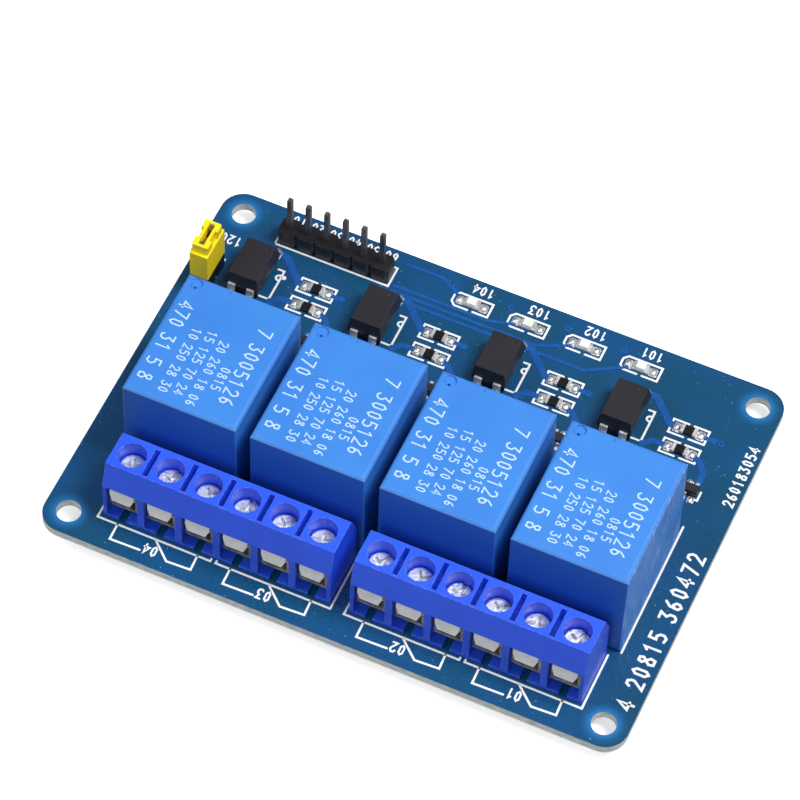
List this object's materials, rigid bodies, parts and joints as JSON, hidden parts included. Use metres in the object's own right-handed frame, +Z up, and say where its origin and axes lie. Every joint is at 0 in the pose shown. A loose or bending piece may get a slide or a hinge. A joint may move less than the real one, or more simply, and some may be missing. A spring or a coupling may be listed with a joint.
{
  "type": "relay module board",
  "caption": "Relay module board with screw terminal rows, sealed cube relays, optocouplers, status lamps, a control header and a jumper.",
  "frame": {"origin": "middle of the board's outline, level with the cut ends of the soldered leads under it", "axes": "+X along the terminal rows, +Y from the screw terminals to the control header, +Z up through the relay tops"},
  "size_m": [0.0764, 0.0556, 0.0186],
  "materials": {
    "board": "blue solder mask over glass-fibre laminate, satin gloss",
    "relay_plastic": "moulded blue polyester, fine grain",
    "relay_base_plastic": "moulded blue base with sealing resin",
    "terminal_plastic": "moulded blue polyamide, semi gloss",
    "screw_steel": "zinc-plated steel",
    "clip_metal": "tin-plated brass",
    "guard_steel": "bright stainless leaf",
    "black_mould": "dark moulding compound",
    "header_plastic": "black moulded polyester",
    "tinned_lead": "tinned copper alloy",
    "end_cap": "tinned end caps",
    "solder": "bright solder",
    "ceramic": "glazed black chip resistor face",
    "led_base": "white laminate",
    "led_lens": "milky clear resin",
    "cap_plastic": "yellow moulded polyester",
    "clip_brass": "sprung phosphor bronze"
  },
  "bodies": {
    "board": {"pcb": "board", "relay_case_1": "relay_plastic", "relay_case_2": "relay_plastic", "relay_case_3": "relay_plastic", "relay_case_4": "relay_plastic", "relay_base_1": "relay_base_plastic", "relay_base_2": "relay_base_plastic", "relay_base_3": "relay_base_plastic", "relay_base_4": "relay_base_plastic", "relay_pins_1": "tinned_lead", "relay_pins_2": "tinned_lead", "relay_pins_3": "tinned_lead", "relay_pins_4": "tinned_lead", "terminal_housing_1": "terminal_plastic", "terminal_housing_2": "terminal_plastic", "terminal_clips_1": "clip_metal", "terminal_clips_2": "clip_metal", "wire_guards_1": "guard_steel", "wire_guards_2": "guard_steel", "opto_body_1": "black_mould", "opto_body_2": "black_mould", "opto_body_3": "black_mould", "opto_body_4": "black_mould", "opto_leads_1": "tinned_lead", "opto_leads_2": "tinned_lead", "opto_leads_3": "tinned_lead", "opto_leads_4": "tinned_lead", "transistor_bodies": "black_mould", "diode_bodies": "black_mould", "transistor_leads": "tinned_lead", "diode_leads": "tinned_lead", "resistor_bodies": "ceramic", "resistor_caps": "end_cap", "led_caps": "end_cap", "led_bases": "led_base", "led_lenses": "led_lens", "control_strip": "header_plastic", "jumper_strip": "header_plastic", "control_pins_row": "tinned_lead", "jumper_pins_row": "tinned_lead", "solder_joints": "solder"},
    "screw_01": {"terminal_screw_1": "screw_steel"},
    "screw_02": {"terminal_screw_2": "screw_steel"},
    "screw_03": {"terminal_screw_3": "screw_steel"},
    "screw_04": {"terminal_screw_4": "screw_steel"},
    "screw_05": {"terminal_screw_5": "screw_steel"},
    "screw_06": {"terminal_screw_6": "screw_steel"},
    "screw_07": {"terminal_screw_7": "screw_steel"},
    "screw_08": {"terminal_screw_8": "screw_steel"},
    "screw_09": {"terminal_screw_9": "screw_steel"},
    "screw_10": {"terminal_screw_10": "screw_steel"},
    "screw_11": {"terminal_screw_11": "screw_steel"},
    "screw_12": {"terminal_screw_12": "screw_steel"},
    "jumper": {"jumper_cap": "cap_plastic", "jumper_clip": "clip_brass"}
  },
  "joints": [
    {"name": "screw_01_turn", "type": "hinge", "parent": "board", "child": "screw_01", "pos_m": [-0.02846, -0.0199, 0.0078], "axis": [0, 0, 1], "range_deg": [-240, 1500]},
    {"name": "screw_02_turn", "type": "hinge", "parent": "board", "child": "screw_02", "pos_m": [-0.02346, -0.0199, 0.0078], "axis": [0, 0, 1], "range_deg": [-240, 1500]},
    {"name": "screw_03_turn", "type": "hinge", "parent": "board", "child": "screw_03", "pos_m": [-0.01845, -0.0199, 0.0078], "axis": [0, 0, 1], "range_deg": [-240, 1500]},
    {"name": "screw_04_turn", "type": "hinge", "parent": "board", "child": "screw_04", "pos_m": [-0.01345, -0.0199, 0.0078], "axis": [0, 0, 1], "range_deg": [-240, 1500]},
    {"name": "screw_05_turn", "type": "hinge", "parent": "board", "child": "screw_05", "pos_m": [-0.00846, -0.0199, 0.0078], "axis": [0, 0, 1], "range_deg": [-240, 1500]},
    {"name": "screw_06_turn", "type": "hinge", "parent": "board", "child": "screw_06", "pos_m": [-0.00346, -0.0199, 0.0078], "axis": [0, 0, 1], "range_deg": [-240, 1500]},
    {"name": "screw_07_turn", "type": "hinge", "parent": "board", "child": "screw_07", "pos_m": [0.00409, -0.0199, 0.0078], "axis": [0, 0, 1], "range_deg": [-240, 1500]},
    {"name": "screw_08_turn", "type": "hinge", "parent": "board", "child": "screw_08", "pos_m": [0.0091, -0.0199, 0.0078], "axis": [0, 0, 1], "range_deg": [-240, 1500]},
    {"name": "screw_09_turn", "type": "hinge", "parent": "board", "child": "screw_09", "pos_m": [0.01409, -0.0199, 0.0078], "axis": [0, 0, 1], "range_deg": [-240, 1500]},
    {"name": "screw_10_turn", "type": "hinge", "parent": "board", "child": "screw_10", "pos_m": [0.0191, -0.0199, 0.0078], "axis": [0, 0, 1], "range_deg": [-240, 1500]},
    {"name": "screw_11_turn", "type": "hinge", "parent": "board", "child": "screw_11", "pos_m": [0.02409, -0.0199, 0.0078], "axis": [0, 0, 1], "range_deg": [-240, 1500]},
    {"name": "screw_12_turn", "type": "hinge", "parent": "board", "child": "screw_12", "pos_m": [0.02909, -0.0199, 0.0078], "axis": [0, 0, 1], "range_deg": [-240, 1500]},
    {"name": "jumper_pull", "type": "slide", "parent": "board", "child": "jumper", "axis": [0, 0, 1], "range_m": [0, 0.006]}
  ]
}
